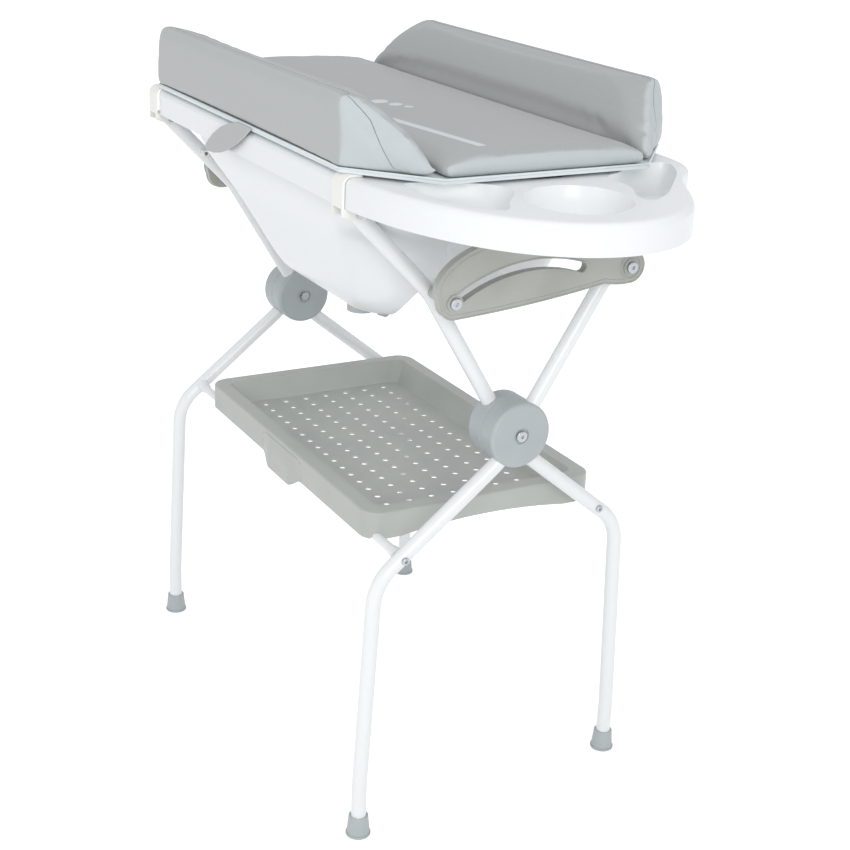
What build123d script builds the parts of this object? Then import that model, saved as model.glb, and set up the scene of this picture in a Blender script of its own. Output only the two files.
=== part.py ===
from build123d import *
import os
from math import atan2, cos, hypot, pi, radians, sin, sqrt

# A changing table with a bathtub. Two end frames of crossed steel tubes fold about round hubs,
# a moulded tub is clipped on the inner tubes, a padded mat closes the tub as its lid, and a
# perforated tray hangs on the two crossbars between the legs.
# Millimetres, +Z up. The origin is on the floor under the middle of the length and width.
# +X points to the end with the soap compartments, "near" means that end.
# "Outer" tubes have their feet at -Y and their tops at +Y, "inner" tubes the other way round.

os.makedirs("parts", exist_ok=True)

ends = (1, -1)
end_names = {1: "near", -1: "far"}

# Clearances
running_gap = 0.08
fixed_gap = 0.05
seat_gap = 0.3
cut_over = 2.0

# Overall
half_length = 490.0
half_width = 222.0
hub_y = 14.0
hub_z = 536.0

# Tubes, their places in Y counted from the hub
tube_radius = 10.0
tube_wall = 1.2
frame_half = 325.0
tube_offset = 17.0
foot_half = 206.5
tube_foot_z = 4.0
kick_z = 75.0
knee_half = 193.3
knee_z = 364.0
waist_drop = 40.0
elbow_half = 114.0
elbow_z = 722.0
hinge_half = 216.0
hinge_z = 827.0
tube_stub = 5.0
support_half = 188.0
kick_bend = 300.0
knee_bend = 65.0
waist_bend = 80.0
elbow_bend = 100.0
outer_x = frame_half + tube_offset
inner_x = frame_half - tube_offset

# Hub cups
cup_radius = 43.0
cup_depth = 30.0
cup_round = 5.0
cup_joint_bevel = 1.2
hub_recess_radius = 10.5
hub_recess_depth = 1.5

# Screws, bolts and nuts
bolt_radius = 4.0
bolt_head_radius = 7.5
bolt_head_height = 4.5
socket_radius = 2.6
socket_depth = 2.2
head_round = 1.4
nut_radius = 7.2
nut_height = 5.5
crossbar_screw_radius = 2.5
crossbar_head_radius = 5.0
crossbar_head_height = 3.2
crossbar_screw_length = 34.0

# Feet
foot_height = 29.0
foot_flange_radius = 16.5
foot_flange_height = 3.5
foot_low_radius = 15.2
foot_top_radius = 13.0
foot_round = 1.0

# Crossbars
crossbar_half = 157.0
crossbar_radius = 6.0
crossbar_wall = 1.2
bush_length = 15.0
bush_wide_radius = 9.0
bush_thin_radius = 7.2

# Stays
stay_gap = 4.0
stay_thick = 12.0
stay_head_radius = 20.0
stay_turn_share = 0.06
fold_limit = 45.0
stud_angle = 31.0
stud_reach = 221.0
pivot_angle = 32.9
pivot_reach = 249.0
slot_width = 14.0
slot_spare_angle = 2.5
slot_bush_radius = 6.0
stay_washer_radius = 10.5
stay_washer_thick = 1.6
stay_recess = 2.5
sleeve_radius = 8.0
spacer_radius = 13.0

# Tub shell
shell_wall = 3.0
tub_length = 945.0
deck_z = 871.0
skirt_height = 35.0
rim_round = 9.0
rim_far_corner = 62.0
nose_start = 306.0
basin_floor_z = 645.0
basin_top_over = 6.0
drain_x = -62.0
drain_y = -62.0
drain_neck_radius = 15.0
pocket_depth = 31.0

# Clips that hold the rim on the inner tubes
clip_wall = 3.0
clip_top_reach = 22.0
clip_cheek = 2.8
clip_cheek_gap = 0.5
clip_low_drop = 6.0
clip_lug_radius = 8.0
pin_radius = 3.0
pin_head_radius = 4.6
pin_head_height = 1.4

# Supports under the other side of the rim
support_block = 27.0
support_pillar_radius = 6.5
support_inset = 44.0
support_cup_depth = 20.0

# Drain
drain_flange_radius = 21.0
drain_flange_thick = 2.0
drain_body_radius = 19.0
drain_body_height = 22.0
drain_wall = 2.2
spout_radius = 6.0
spout_bore = 4.0
spout_reach = 46.0
spout_turn = 20.6
cap_radius = 8.0
cap_length = 12.0
cap_wall = 1.6
plug_radius = 11.0
plug_height = 9.0
plug_ring_radius = 7.0
plug_ring_wire = 1.3

# Mat
mat_near_x = 284.0
mat_length = 745.0
board_z = deck_z + clip_wall + 2 * seat_gap
board_thick = 5.0
crease_half = 138.0
near_corner_cut = 95.0
far_corner_cut = 60.0
pad_edge_height = 13.0
pad_crown = 20.0
pad_edge_round = 5.0
bolster_height = 86.0
ridge_width = 16.0
bolster_bulge = 9.0
bolster_round = 6.0

# Mat hinges on the +Y side
mat_hinge_y = 230.0
mat_hinge_z = 868.0
mat_hinge_spread = 185.0
mat_hinge_width = 44.0
knuckle_radius = 4.5
hinge_pin_radius = 1.5

# Strap
strap_thick = 2.0
strap_top_z = 879.0

# Storage tray
tray_shift = 7.0
tray_half_length = 273.0
tray_half_width = 172.0
tray_rim_z = 427.0
tray_wall = 2.6
tray_floor_z = 397.0
tray_corner = 26.0
tray_rim_width = 20.0
tray_draft = 20.0
tray_skirt_drop = 37.0
tray_edge_round = 3.0
arch_rise = 9.0
arch_half_share = 0.8
grip_half = 66.0
grip_drop = 15.0
grip_bulge = 5.0
hole_radius = 5.0
hole_pitch_x = 27.0
hole_pitch_y = 34.0
holes_x = 17
holes_y = 7
bar_notch_radius = 7.5
saddle_thick = 4.0
saddle_spread = 190.0

# The end frames stand so far along X that the screw heads of the far stay reach the far limit
stay_inner_x = outer_x + tube_radius + stay_gap
stay_outer_x = stay_inner_x + stay_thick
screw_reach = stay_outer_x + seat_gap + stay_washer_thick + bolt_head_height
frame_x = screw_reach - half_length

# Directions of the tube arms above and below the hub
rise_angle = atan2(elbow_z - hub_z, elbow_half)
waist_half = waist_drop * cos(rise_angle)
waist_z = hub_z - waist_drop * sin(rise_angle)
top_angle = atan2(hinge_z - elbow_z, hinge_half - elbow_half)
arm_slope = (waist_z - knee_z) / (knee_half - waist_half)
crossbar_z = knee_z + (knee_half - crossbar_half) * arm_slope
support_z = elbow_z + (support_half - elbow_half) * (hinge_z - elbow_z) / (hinge_half - elbow_half)

rim_under_z = deck_z - shell_wall
skirt_z = deck_z - skirt_height
tub_far_x = half_length - tub_length
nose_x = half_length - nose_start


def write(piece, name):
    """Label a finished piece and write it under its own name."""
    piece.part.label = name
    export_step(piece.part, f"parts/{name}.step")


def write_group(pieces, name):
    """Join loose solids of one kind in one node."""
    with BuildPart() as group:
        add(pieces)
    write(group, name)


def frame_place(end, reach):
    """X of something that lies reach from the middle of the two end frames."""
    return frame_x + end * reach


def cross_rod(start_x, stop_x, y, z, radius, mode=Mode.ADD):
    """A round bar or hole along X in the part that is being built."""
    with Locations(Location(((start_x + stop_x) / 2, y, z), (0, 90, 0))):
        Cylinder(radius, abs(stop_x - start_x), mode=mode)


def bolt(face_x, end, y, z, length, shank, head_radius, head_height):
    """A round-headed socket screw whose head stands on face_x and whose shank runs inwards."""
    face = Plane(origin=(face_x, y, z), x_dir=(0, 1, 0), z_dir=(end, 0, 0))
    with BuildPart() as screw:
        with BuildSketch(face):
            Circle(head_radius)
        extrude(amount=head_height)
        crown = screw.edges().sort_by(Axis((face_x, y, z), (end, 0, 0)))[-1]
        fillet(crown, head_round)
        with BuildSketch(face):
            Circle(shank)
        extrude(amount=-length)
        with BuildSketch(face.offset(head_height)):
            RegularPolygon(socket_radius, 6)
        extrude(amount=-socket_depth, mode=Mode.SUBTRACT)
    return screw.part


def nut(face_x, end, y, z, bore, outer_radius=nut_radius, height=nut_height):
    """A hexagon nut that lies against face_x on the inner side."""
    face = Plane(origin=(face_x, y, z), x_dir=(0, 1, 0), z_dir=(-end, 0, 0))
    with BuildPart() as hexagon:
        with BuildSketch(face):
            RegularPolygon(outer_radius, 6)
            Circle(bore, mode=Mode.SUBTRACT)
        extrude(amount=height)
    return hexagon.part


def ring(start_x, stop_x, y, z, outer_radius, bore):
    """A washer, bush or sleeve along X."""
    with BuildPart() as sleeve:
        cross_rod(start_x, stop_x, y, z, outer_radius)
        cross_rod(2 * start_x - stop_x, 2 * stop_x - start_x, y, z, bore, mode=Mode.SUBTRACT)
    return sleeve.part


# End frames

def tube_route(lean, top_half, top_z):
    """Corners of a leg from its foot over the hub to its top. lean is the side of the foot."""
    return [
        (hub_y + lean * foot_half, tube_foot_z),
        (hub_y + lean * foot_half, kick_z),
        (hub_y + lean * knee_half, knee_z),
        (hub_y + lean * waist_half, waist_z),
        (hub_y - lean * elbow_half, elbow_z),
        (hub_y - lean * top_half, top_z),
    ]


def bent_bar(x, lean, top_half, top_z, radius, bore=0.0):
    """A bar or tube along a leg's route in the plane at x."""
    with BuildPart() as bar:
        with BuildLine(Plane.YZ.offset(x)) as route:
            FilletPolyline(*tube_route(lean, top_half, top_z),
                           radius=[kick_bend, knee_bend, waist_bend, elbow_bend])
        with BuildSketch(Plane(origin=route.line @ 0, z_dir=route.line % 0)):
            Circle(radius)
            if bore > 0:
                Circle(bore, mode=Mode.SUBTRACT)
        sweep(path=route.line)
    return bar.part


def polar(angle, reach):
    """Y and Z of a point at an angle from straight up about the hub, positive to +Y."""
    return hub_y + reach * sin(radians(angle)), hub_z + reach * cos(radians(angle))


stud_y, stud_z = polar(-stud_angle, stud_reach)
pivot_y, pivot_z = polar(pivot_angle, pivot_reach)
hinge_y = hub_y - hinge_half
stub_half = hinge_half + tube_stub * cos(top_angle)
stub_z = hinge_z + tube_stub * sin(top_angle)
leg_shapes = {"outer": (-1, support_half, support_z), "inner": (1, stub_half, stub_z)}
leg_places = {"outer": outer_x, "inner": inner_x}


def leg_tube(kind, end):
    """One leg tube with its cross holes for the hub bolt, crossbar screw and stay fastener."""
    lean, top_half, top_z = leg_shapes[kind]
    x = frame_place(end, leg_places[kind])
    holes = [(hub_y, hub_z, bolt_radius + fixed_gap),
             (hub_y + lean * crossbar_half, crossbar_z, crossbar_screw_radius + fixed_gap)]
    if kind == "outer":
        holes.append((pivot_y, pivot_z, bolt_radius + fixed_gap))
    else:
        holes.append((stud_y, stud_z, bolt_radius + fixed_gap))
        holes.append((hinge_y, hinge_z, pin_radius + fixed_gap))
    shape = bent_bar(x, lean, top_half, top_z, tube_radius, tube_radius - tube_wall)
    with BuildPart() as tube:
        add(shape)
        for y, z, radius in holes:
            cross_rod(x - 2 * tube_radius, x + 2 * tube_radius, y, z, radius, mode=Mode.SUBTRACT)
    write(tube, f"{kind}_tube_{end_names[end]}")


def foot(kind, end):
    """A tapered plastic cup under a tube's end."""
    lean = leg_shapes[kind][0]
    place = Plane(origin=(frame_place(end, leg_places[kind]), hub_y + lean * foot_half, 0))
    bore = tube_radius + fixed_gap
    with BuildPart() as cup:
        with BuildSketch(place):
            Circle(foot_flange_radius)
        extrude(amount=foot_flange_height)
        with BuildSketch(place.offset(foot_flange_height)):
            Circle(foot_low_radius)
        with BuildSketch(place.offset(foot_height)):
            Circle(foot_top_radius)
        loft()
        rims = cup.edges().filter_by(GeomType.CIRCLE).group_by(Axis.Z)
        fillet(rims[0] + rims[-1], foot_round)
        with BuildSketch(place.offset(tube_foot_z)):
            Circle(bore)
        extrude(amount=foot_height, mode=Mode.SUBTRACT)
    write(cup, f"foot_{kind}_{end_names[end]}")


def hub_cup(kind, end):
    """Half of a hub: a cup that holds one tube and turns against the other half."""
    lean, top_half, top_z = leg_shapes[kind]
    side = end if kind == "outer" else -end
    joint = frame_place(end, frame_half) + side * seat_gap / 2
    channel = bent_bar(frame_place(end, leg_places[kind]), lean, top_half, top_z, tube_radius + fixed_gap)
    base = Plane(origin=(joint, hub_y, hub_z), x_dir=(0, 1, 0), z_dir=(side, 0, 0))
    bore = bolt_radius + (fixed_gap if kind == "outer" else running_gap)
    outwards = Axis((joint, hub_y, hub_z), (side, 0, 0))
    with BuildPart() as cup:
        with BuildSketch(base):
            Circle(cup_radius)
        extrude(amount=cup_depth)
        rims = cup.edges().filter_by(GeomType.CIRCLE).sort_by(outwards)
        fillet(rims[-1], cup_round)
        chamfer(cup.edges().filter_by(GeomType.CIRCLE).sort_by(outwards)[0], cup_joint_bevel)
        with BuildSketch(base.offset(cup_depth)):
            Circle(hub_recess_radius)
        extrude(amount=-hub_recess_depth, mode=Mode.SUBTRACT)
        with BuildSketch(base):
            Circle(bore)
        extrude(amount=cup_depth, mode=Mode.SUBTRACT)
        add(channel, mode=Mode.SUBTRACT)
    write(cup, f"hub_{kind}_cup_{end_names[end]}")


for end in ends:
    for kind in leg_shapes:
        leg_tube(kind, end)
        foot(kind, end)
        hub_cup(kind, end)

# Hub bolts, each through both cups and both tubes
hub_face = frame_half + seat_gap / 2 + cup_depth - hub_recess_depth
hub_back = frame_half - seat_gap / 2 - cup_depth + hub_recess_depth
hub_grip = hub_face - hub_back + nut_height
write_group([bolt(frame_place(end, hub_face), end, hub_y, hub_z, hub_grip, bolt_radius,
                  bolt_head_radius, bolt_head_height) for end in ends], "hub_bolts")
write_group([nut(frame_place(end, hub_back - seat_gap), end, hub_y, hub_z, bolt_radius + fixed_gap)
             for end in ends], "hub_nuts")


# Crossbars with their end bushes and screws

def crossbar(kind):
    """A thin tube between two legs, a conical bush at each end and a screw through each leg."""
    lean = leg_shapes[kind][0]
    y = hub_y + lean * crossbar_half
    reach = leg_places[kind] - tube_radius - fixed_gap
    with BuildPart() as bar:
        cross_rod(frame_x - reach + bush_length / 2, frame_x + reach - bush_length / 2,
                  y, crossbar_z, crossbar_radius)
        cross_rod(frame_x - reach, frame_x + reach, y, crossbar_z,
                  crossbar_radius - crossbar_wall, mode=Mode.SUBTRACT)
    write(bar, f"{kind}_crossbar")

    bushes = []
    screws = []
    for end in ends:
        seat = Plane(origin=(frame_place(end, reach), y, crossbar_z), x_dir=(0, 1, 0), z_dir=(-end, 0, 0))
        with BuildPart() as bush:
            with BuildSketch(seat):
                Circle(bush_wide_radius)
            with BuildSketch(seat.offset(bush_length)):
                Circle(bush_thin_radius)
            loft()
            with BuildSketch(seat.offset(bush_length / 2)):
                Circle(crossbar_radius + fixed_gap)
            extrude(amount=bush_length, mode=Mode.SUBTRACT)
            with BuildSketch(seat):
                Circle(crossbar_screw_radius + fixed_gap)
            extrude(amount=bush_length, mode=Mode.SUBTRACT)
        bushes.append(bush.part)
        face = leg_places[kind] + tube_radius
        screws.append(bolt(frame_place(end, face), end, y, crossbar_z, crossbar_screw_length,
                           crossbar_screw_radius, crossbar_head_radius, crossbar_head_height))
    write_group(bushes, f"{kind}_crossbar_bushes")
    write_group(screws, f"{kind}_crossbar_screws")


for kind in leg_shapes:
    crossbar(kind)


# Stays: each turns on a screw in the outer tube, and a stud on the inner tube runs in its slot

def slot_point(fold):
    """Where the stud lies in the stay when the frame is folded by an angle."""
    y, z = polar(fold - stud_angle, stud_reach)
    turn = radians(-stay_turn_share * fold)
    along = y - pivot_y
    up = z - pivot_z
    return (pivot_y + along * cos(turn) - up * sin(turn), pivot_z + along * sin(turn) + up * cos(turn))


slot_stop = fold_limit + slot_spare_angle
web_height = 30.0
web_side = 23.0
web_top_lift = 31.0
arm_drop = 17.0
arm_belly = 3.0


def stay(end):
    """A moulded plate with a long curved slot, a thin arm below it and a wide web above it."""
    inner_face = frame_place(end, stay_inner_x)
    plate = Plane(origin=(inner_face, 0, 0), x_dir=(0, 1, 0), z_dir=(1, 0, 0))
    first, middle, last = (slot_point(fold) for fold in (0.0, slot_stop / 2, slot_stop))
    low_left = (stud_y + stay_recess, stud_z - stay_head_radius)
    low_right = (pivot_y - stay_head_radius - arm_drop, pivot_z - arm_drop)
    low_middle = ((low_left[0] + low_right[0]) / 2, (low_left[1] + low_right[1]) / 2 - arm_belly)
    right_under = (pivot_y, pivot_z - stay_head_radius)
    right_end = (pivot_y + stay_head_radius, pivot_z)
    right_top = (pivot_y - stay_recess, pivot_z + stay_head_radius)
    high_middle = (middle[0] + stay_head_radius, middle[1] + web_top_lift)
    high_left = (stud_y + stay_head_radius, stud_z + 2 * web_height)
    left_side = (stud_y - web_side, stud_z + stay_head_radius)
    left_end = (stud_y - stay_head_radius, stud_z)
    head_diagonal = stay_head_radius / sqrt(2)
    with BuildLine() as track:
        ThreePointArc(first, middle, last)
    with BuildPart() as piece:
        with BuildSketch(plate):
            with BuildLine():
                ThreePointArc(low_left, low_middle, low_right)
                ThreePointArc(low_right, (low_right[0] / 2 + right_under[0] / 2, right_under[1]), right_under)
                ThreePointArc(right_under, right_end, right_top)
                Spline(right_top, high_middle, high_left, left_side, left_end)
                ThreePointArc(left_end, (stud_y - head_diagonal, stud_z - head_diagonal), low_left)
            make_face()
        extrude(amount=end * stay_thick)
        with BuildSketch(plate):
            SlotArc(track.line.edge(), slot_width)
            with Locations((pivot_y, pivot_z)):
                Circle(bolt_radius + running_gap)
        extrude(amount=end * stay_thick, mode=Mode.SUBTRACT)
    write(piece, f"stay_{end_names[end]}")


for end in ends:
    stay(end)


# Fasteners of the stays: a pivot screw through the outer tube, a stud on the inner tube
tube_outside = outer_x + tube_radius
tube_inside = outer_x - tube_radius
inner_outside = inner_x + tube_radius
inner_inside = inner_x - tube_radius
washer_face = stay_outer_x + seat_gap
head_face = washer_face + stay_washer_thick
for name, y, z, back in (("stay_pivot", pivot_y, pivot_z, tube_inside),
                         ("stay_stud", stud_y, stud_z, inner_inside)):
    nuts = [nut(frame_place(end, back), end, y, z, bolt_radius + fixed_gap) for end in ends]
    washers = [ring(frame_place(end, washer_face), frame_place(end, head_face), y, z,
                    stay_washer_radius, bolt_radius + fixed_gap) for end in ends]
    bolts = [bolt(frame_place(end, head_face), end, y, z, head_face - back + nut_height, bolt_radius,
                  bolt_head_radius, bolt_head_height) for end in ends]
    write_group(nuts, f"{name}_nuts")
    write_group(washers, f"{name}_washers")
    write_group(bolts, f"{name}_bolts")
write_group([ring(frame_place(end, tube_outside), frame_place(end, stay_inner_x - seat_gap), pivot_y, pivot_z,
                  spacer_radius, bolt_radius + fixed_gap) for end in ends], "stay_pivot_spacers")
write_group([ring(frame_place(end, inner_outside), frame_place(end, stay_inner_x - seat_gap), stud_y, stud_z,
                  sleeve_radius, bolt_radius + fixed_gap) for end in ends], "stay_stud_sleeves")
write_group([ring(frame_place(end, stay_inner_x - seat_gap), frame_place(end, washer_face), stud_y, stud_z,
                  slot_bush_radius, bolt_radius + fixed_gap) for end in ends], "stay_slot_bushes")


# Tub shell

# Shares of the nose's length along X and of the half width along Y, from the -Y side round the tip
nose_shares = [(0.0, -1.0), (0.386, -0.928), (0.686, -0.757), (0.889, -0.518), (0.9905, -0.225),
               (0.9905, 0.036), (0.912, 0.275), (0.719, 0.514), (0.379, 0.811), (0.0, 1.0)]


def nose_points(shares):
    """Places in the nose, from shares of its length and of the half width."""
    return [(nose_x + along * nose_start, across * half_width) for along, across in shares]


def rim_shell():
    """The deck with its rounded edge and skirt, open below."""
    with BuildPart() as slab:
        with BuildSketch(Plane.XY.offset(skirt_z)):
            with BuildLine():
                Spline(*nose_points(nose_shares), tangents=[(1, 0), (-1, 0)])
                FilletPolyline((nose_x, half_width), (tub_far_x, half_width),
                               (tub_far_x, -half_width), (nose_x, -half_width), radius=rim_far_corner)
            make_face()
        extrude(amount=skirt_height)
        fillet(slab.faces().sort_by(Axis.Z)[-1].edges(), rim_round)
        offset(amount=-shell_wall, openings=slab.faces().sort_by(Axis.Z)[0])
    return slab.part


# Heights above the basin's floor with the far and near ends, the half width and the corners there
basin_levels = (
    {"rise": 0.0, "far": -236.0, "near": 24.0, "half": 92.0, "corner": 52.0},
    {"rise": 6.0, "far": -248.0, "near": 62.0, "half": 108.0, "corner": 62.0},
    {"rise": 20.0, "far": -260.0, "near": 98.0, "half": 121.0, "corner": 70.0},
    {"rise": 60.0, "far": -290.0, "near": 132.0, "half": 141.0, "corner": 76.0},
    {"rise": 120.0, "far": -338.0, "near": 155.0, "half": 170.0, "corner": 80.0},
    {"rise": 226.0, "far": -416.0, "near": 180.0, "half": 207.0, "corner": 84.0},
)
# The raised backrest between the basin's two lobes is a scoop in its underside
scoop_start = -56.0
scoop_end = 200.0
scoop_y = -15.0
scoop_axis_z = 630.0
scoop_start_half = 30.0
scoop_end_half = 120.0
scoop_start_height = 16.0
scoop_end_height = 132.0
# The opening reaches over the backrest in a half ellipse
reach_start = 120.0
reach_deck = 287.0
reach_low = 148.0
reach_low_z = 738.0
reach_deck_half = 112.0
reach_low_half = 80.0
reach_y = 4.0


def basin(skin, top_z):
    """The basin as a solid: its outer shape, or its inside when the skin is the wall."""
    with BuildPart() as body:
        for level in basin_levels:
            height = basin_floor_z + level["rise"] + (skin if level["rise"] == 0 else 0)
            high = level is basin_levels[-1]
            with BuildSketch(Plane.XY.offset(top_z if high else height)):
                with Locations(((level["far"] + level["near"]) / 2, 0)):
                    RectangleRounded(level["near"] - level["far"] - 2 * skin, 2 * (level["half"] - skin),
                                     level["corner"] - skin)
        loft()
        for z, tip, half in ((reach_low_z + skin, reach_low, reach_low_half),
                             (top_z, reach_deck, reach_deck_half)):
            with BuildSketch(Plane.XY.offset(z)):
                with BuildLine():
                    bend = ThreePointArc((reach_start, reach_y + half - skin), (tip - skin, reach_y),
                                         (reach_start, reach_y - half + skin))
                    Line(bend @ 1, bend @ 0)
                make_face()
        loft()
        for x, half, height in ((scoop_start, scoop_start_half, scoop_start_height),
                                (scoop_end, scoop_end_half, scoop_end_height)):
            with BuildSketch(Plane(origin=(x, scoop_y, scoop_axis_z), x_dir=(0, 1, 0), z_dir=(1, 0, 0))):
                Ellipse(half + skin, height + skin)
        loft(mode=Mode.SUBTRACT)
    return body.part


# The round compartment is an oval, given by its middle, half axes and turn
oval_x = 379.0
oval_y = -24.0
oval_long = 70.0
oval_short = 61.0
oval_turn = -30.0
oval_corners = 12
# The other two are given by shares of the nose's length and of the half width
long_shares = [(0.235, -0.793), (0.487, -0.775), (0.634, -0.671), (0.69, -0.577), (0.592, -0.468),
               (0.431, -0.315), (0.373, -0.324), (0.255, -0.541)]
drop_shares = [(0.324, 0.396), (0.389, 0.315), (0.477, 0.32), (0.578, 0.279), (0.683, 0.212), (0.732, 0.221),
               (0.709, 0.32), (0.627, 0.455), (0.48, 0.64), (0.32, 0.811), (0.209, 0.847), (0.196, 0.743),
               (0.255, 0.541)]
# Going down, each level of a compartment keeps this share of its outline, at this share of its depth
pocket_steps_shares = [(1.0, 0.0), (0.93, 0.55), (0.80, 0.88), (0.55, 1.0)]


def oval_points():
    """Places round the oval compartment's edge."""
    places = []
    for corner in range(oval_corners):
        angle = 2 * pi * corner / oval_corners
        turned = Vector(oval_long * cos(angle), oval_short * sin(angle)).rotate(Axis.Z, oval_turn)
        places.append((oval_x + turned.X, oval_y + turned.Y))
    return places


def pocket(points, skin):
    """A compartment sunk in the deck: its inside, or its outside when it has a skin."""
    middle_x = sum(x for x, y in points) / len(points)
    middle_y = sum(y for x, y in points) / len(points)
    depth = pocket_depth + skin
    lift = deck_z if skin > 0 else deck_z + cut_over
    with BuildPart() as hollow:
        for keep, down in pocket_steps_shares:
            level = []
            for x, y in points:
                reach = hypot(x - middle_x, y - middle_y)
                grow = keep + skin / reach
                level.append((middle_x + (x - middle_x) * grow, middle_y + (y - middle_y) * grow))
            with BuildSketch(Plane.XY.offset(lift - (depth + lift - deck_z) * down)):
                with BuildLine():
                    Spline(*level, periodic=True)
                make_face()
        loft()
    return hollow.part


def tub_shell():
    """The white moulded tub: skirted rim, deck with compartments, and the deep basin."""
    rim = rim_shell()
    outside = basin(0, deck_z)
    cavity = basin(shell_wall, deck_z + basin_top_over)
    with BuildPart() as inside:
        add(cavity)
        with Locations((drain_x, drain_y, basin_floor_z)):
            Cylinder(drain_neck_radius + fixed_gap, 4 * shell_wall)
    compartments = (oval_points(), nose_points(long_shares), nose_points(drop_shares))
    bowls = [pocket(points, shell_wall) for points in compartments]
    hollows = [pocket(points, 0) for points in compartments]
    with BuildPart() as tub:
        add(rim)
        add(outside)
        for bowl in bowls:
            add(bowl)
        add(inside.part, mode=Mode.SUBTRACT)
        for hollow in hollows:
            add(hollow, mode=Mode.SUBTRACT)
    write(tub, "tub_shell")


tub_shell()


# Clips that hold the rim and turn on the tops of the inner tubes

def rim_clip(end):
    """A band over the rim that ends in two cheeks beside the tube's top."""
    x = frame_place(end, inner_x)
    half = tube_radius + clip_cheek_gap + clip_cheek
    skirt_face = -half_width - seat_gap
    top_z = deck_z + seat_gap
    side = Plane(origin=(x - half, 0, 0), x_dir=(0, 1, 0), z_dir=(1, 0, 0))
    with BuildPart() as clip:
        with BuildSketch(side):
            with BuildLine():
                outer_bend = FilletPolyline((skirt_face + clip_top_reach, top_z + clip_wall),
                                            (skirt_face - clip_wall, top_z + clip_wall),
                                            (skirt_face - clip_wall, skirt_z - clip_low_drop),
                                            radius=rim_round + clip_wall)
                inner_bend = FilletPolyline((skirt_face, skirt_z - clip_low_drop), (skirt_face, top_z),
                                            (skirt_face + clip_top_reach, top_z), radius=rim_round)
                Line(outer_bend @ 1, inner_bend @ 0)
                Line(inner_bend @ 1, outer_bend @ 0)
            make_face()
        extrude(amount=2 * half)
        with BuildSketch(side):
            with BuildLine():
                Polyline((skirt_face - clip_wall, skirt_z - seat_gap),
                         (skirt_face - clip_wall, skirt_z - clip_low_drop - clip_wall),
                         (hinge_y, hinge_z - clip_lug_radius),
                         (hinge_y, skirt_z - seat_gap),
                         close=True)
            make_face()
            with Locations((hinge_y, hinge_z)):
                Circle(clip_lug_radius)
        extrude(amount=2 * half)
        with Locations((x, skirt_face, skirt_z - seat_gap)):
            Box(2 * (tube_radius + clip_cheek_gap), 4 * clip_top_reach, 4 * clip_top_reach,
                align=(Align.CENTER, Align.CENTER, Align.MAX), mode=Mode.SUBTRACT)
        cross_rod(x - 2 * half, x + 2 * half, hinge_y, hinge_z, pin_radius + running_gap, mode=Mode.SUBTRACT)
    write(clip, f"rim_clip_{end_names[end]}")


def clip_pin(end):
    """A headed pin through both cheeks and the tube's top."""
    half = tube_radius + clip_cheek_gap + clip_cheek + seat_gap
    x = frame_place(end, inner_x)
    with BuildPart() as pin:
        cross_rod(x - half, x + half, hinge_y, hinge_z, pin_radius)
        cross_rod(x - half, x - half - pin_head_height, hinge_y, hinge_z, pin_head_radius)
        cross_rod(x + half, x + half + pin_head_height, hinge_y, hinge_z, pin_head_radius)
    return pin.part


for end in ends:
    rim_clip(end)
write_group([clip_pin(end) for end in ends], "clip_pins")


# Supports on the tops of the outer tubes, under the other side of the rim

def tub_support(end):
    """A plastic block on the tube's top with a pillar that reaches up under the deck."""
    x = frame_place(end, outer_x)
    pillar_x = frame_place(end, outer_x - support_inset)
    y = hub_y + support_half
    lean, top_half, top_z = leg_shapes["outer"]
    channel = bent_bar(x, lean, top_half, top_z, tube_radius + fixed_gap)
    with BuildPart() as support:
        with Locations((x, y, support_z)):
            Box(support_block, support_block, support_cup_depth)
        with Locations(((x + pillar_x) / 2, y, support_z)):
            Box(support_inset + 2 * support_pillar_radius, 2 * support_pillar_radius, support_cup_depth)
        fillet(support.edges().filter_by(Axis.Z), head_round)
        add(channel, mode=Mode.SUBTRACT)
        with BuildSketch(Plane.XY.offset(support_z + support_cup_depth / 2)):
            with Locations((pillar_x, y)):
                Circle(support_pillar_radius)
        extrude(amount=rim_under_z - seat_gap - support_z - support_cup_depth / 2)
    write(support, f"tub_support_{end_names[end]}")


for end in ends:
    tub_support(end)


# Locating pegs on the inner sides of the inner tubes
peg_radius = 5.0
peg_bore = 2.8
peg_length = 11.0
peg_half = (elbow_half + hinge_half) / 2
peg_z = (elbow_z + hinge_z) / 2
write_group([ring(frame_place(end, inner_inside - peg_length), frame_place(end, inner_inside),
                  hub_y - peg_half, peg_z, peg_radius, peg_bore) for end in ends], "locating_pegs")


# Drain

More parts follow.
